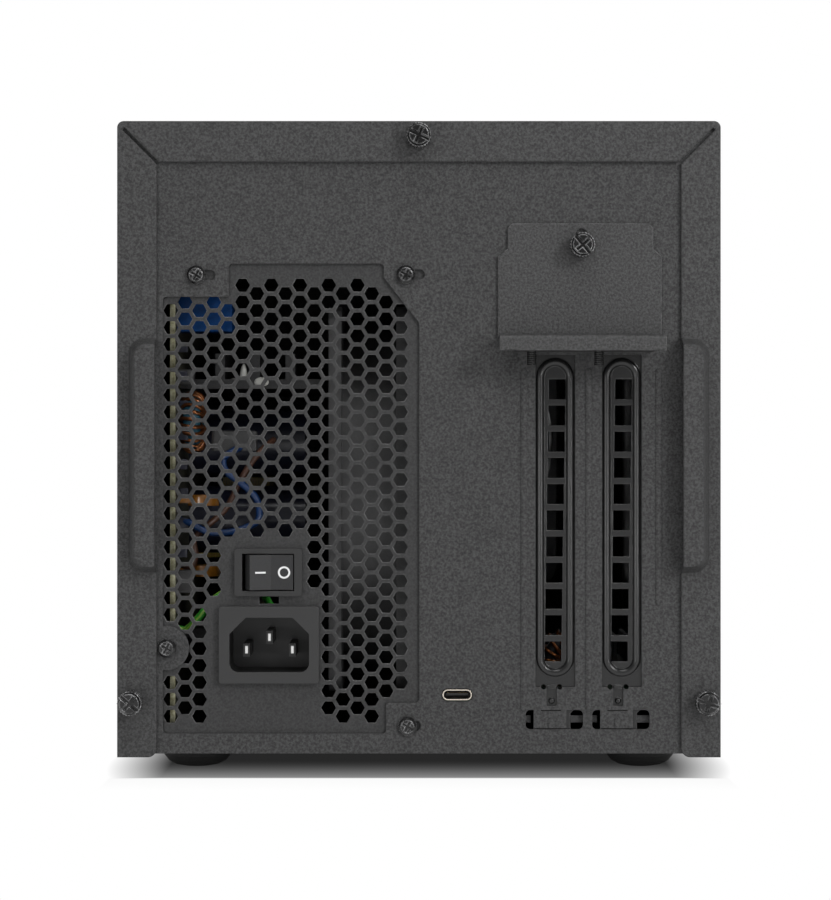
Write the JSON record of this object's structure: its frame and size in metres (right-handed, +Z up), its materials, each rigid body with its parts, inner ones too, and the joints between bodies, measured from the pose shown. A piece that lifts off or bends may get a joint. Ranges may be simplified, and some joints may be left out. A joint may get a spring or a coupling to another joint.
{
  "type": "pcie expansion chassis",
  "caption": "Desktop steel box that holds a graphics card, its power supply, a controller board and a fan, with a slide-off cover and two slots at the rear.",
  "frame": {"origin": "centre of the footprint at the level of the feet's undersides, halfway between the retainer's lip and the front face", "axes": "+Z up, +Y from the slotted rear towards the front, +X to the right seen from the rear"},
  "size_m": [0.184, 0.354, 0.202],
  "materials": {
    "powder_coat": "fine textured powder coat",
    "psu_paint": "fine textured powder coat",
    "black_screw": "black zinc, glossy",
    "bright_screw": "nickel",
    "gloss_black": "gloss",
    "foot_rubber": "matt",
    "black_plastic": "satin",
    "fan_plastic": "satin",
    "circuit_board": "solder mask",
    "tan_board": "phenolic board",
    "aluminium": "plain",
    "copper_coil": "enamelled wire",
    "blue_film": "gloss",
    "orange_disc": "gloss",
    "yellow_tape": "tape",
    "green_wire": "insulation",
    "brass_post": "plain",
    "white_plastic": "satin"
  },
  "bodies": {
    "chassis": {"rear_panel": "powder_coat", "base_pan": "powder_coat", "front_frame": "powder_coat", "front_bezel": "powder_coat", "front_grille": "powder_coat", "frame_screws": "black_screw", "foot_rear_left": "foot_rubber", "foot_rear_right": "foot_rubber", "foot_front_left": "foot_rubber", "foot_front_right": "foot_rubber", "foot_screws": "bright_screw", "bracket_guide": "powder_coat", "slot_blank_left": "gloss_black", "slot_blank_right": "gloss_black", "slot_screws": "bright_screw", "psu_base": "psu_paint", "psu_cover": "psu_paint", "psu_mount_screws": "black_screw", "psu_lid_screws": "bright_screw", "psu_fan_frame": "fan_plastic", "psu_fan_guard": "bright_screw", "psu_fan_screws": "bright_screw", "psu_board": "tan_board", "psu_bulk_capacitors": "blue_film", "psu_transformer": "yellow_tape", "psu_heatsinks": "aluminium", "psu_choke": "copper_coil", "psu_filter_capacitor": "blue_film", "psu_disc_capacitors": "orange_disc", "psu_grommet": "black_plastic", "inlet_housing": "black_plastic", "inlet_pins": "bright_screw", "switch_housing": "black_plastic", "earth_wire": "green_wire", "front_fan_frame": "fan_plastic", "front_fan_screws": "black_screw", "controller_board": "circuit_board", "board_standoffs": "brass_post", "board_screws": "bright_screw", "usb_c_shell": "bright_screw", "usb_c_tongue": "black_plastic", "pcie_slot": "black_plastic", "board_heatsink": "aluminium", "board_chips": "black_plastic", "board_capacitors": "aluminium", "board_coils": "copper_coil", "power_socket": "black_plastic", "power_plug": "black_plastic", "power_cable": "black_plastic", "status_light": "white_plastic"},
    "outer_cover": {"cover": "powder_coat"},
    "top_thumbscrew": {"thumbscrew_top": "black_screw"},
    "left_thumbscrew": {"thumbscrew_left": "black_screw"},
    "right_thumbscrew": {"thumbscrew_right": "black_screw"},
    "retainer": {"slot_retainer": "powder_coat"},
    "retainer_knob": {"retainer_thumbscrew": "black_screw"},
    "rocker": {"switch_rocker": "black_plastic"},
    "supply_fan": {"psu_fan_rotor": "fan_plastic"},
    "front_fan": {"front_fan_rotor": "fan_plastic"},
    "card_latch": {"slot_latch": "white_plastic"}
  },
  "joints": [
    {"name": "cover_slide", "type": "slide", "parent": "chassis", "child": "outer_cover", "axis": [0, -1, 0], "range_m": [0, 0.36]},
    {"name": "top_thumbscrew_turn", "type": "hinge", "parent": "outer_cover", "child": "top_thumbscrew", "pos_m": [0, -0.163, 0.1971], "axis": [0, -1, 0], "range_deg": [0, 1800]},
    {"name": "left_thumbscrew_turn", "type": "hinge", "parent": "outer_cover", "child": "left_thumbscrew", "pos_m": [-0.0876, -0.163, 0.025], "axis": [0, -1, 0], "range_deg": [0, 1800]},
    {"name": "right_thumbscrew_turn", "type": "hinge", "parent": "outer_cover", "child": "right_thumbscrew", "pos_m": [0.0876, -0.163, 0.025], "axis": [0, -1, 0], "range_deg": [0, 1800]},
    {"name": "retainer_pull", "type": "slide", "parent": "chassis", "child": "retainer", "axis": [0, -1, 0], "range_m": [0, 0.05]},
    {"name": "retainer_thumbscrew_turn", "type": "hinge", "parent": "retainer", "child": "retainer_knob", "pos_m": [0.04955, -0.1628, 0.1639], "axis": [0, -1, 0], "range_deg": [0, 1800]},
    {"name": "rocker_tilt", "type": "hinge", "parent": "chassis", "child": "rocker", "pos_m": [-0.046, -0.158, 0.06435], "axis": [0, 0, -1], "range_deg": [0, 22]},
    {"name": "supply_fan_spin", "type": "hinge", "parent": "chassis", "child": "supply_fan", "pos_m": [-0.0155, -0.0908, 0.0864], "axis": [1, 0, 0], "continuous": true},
    {"name": "front_fan_spin", "type": "hinge", "parent": "chassis", "child": "front_fan", "pos_m": [0, 0.152, 0.105], "axis": [0, 1, 0], "continuous": true},
    {"name": "card_latch_tip", "type": "hinge", "parent": "chassis", "child": "card_latch", "pos_m": [0.033, -0.02, 0.0297], "axis": [-1, 0, 0], "range_deg": [0, 30]}
  ]
}
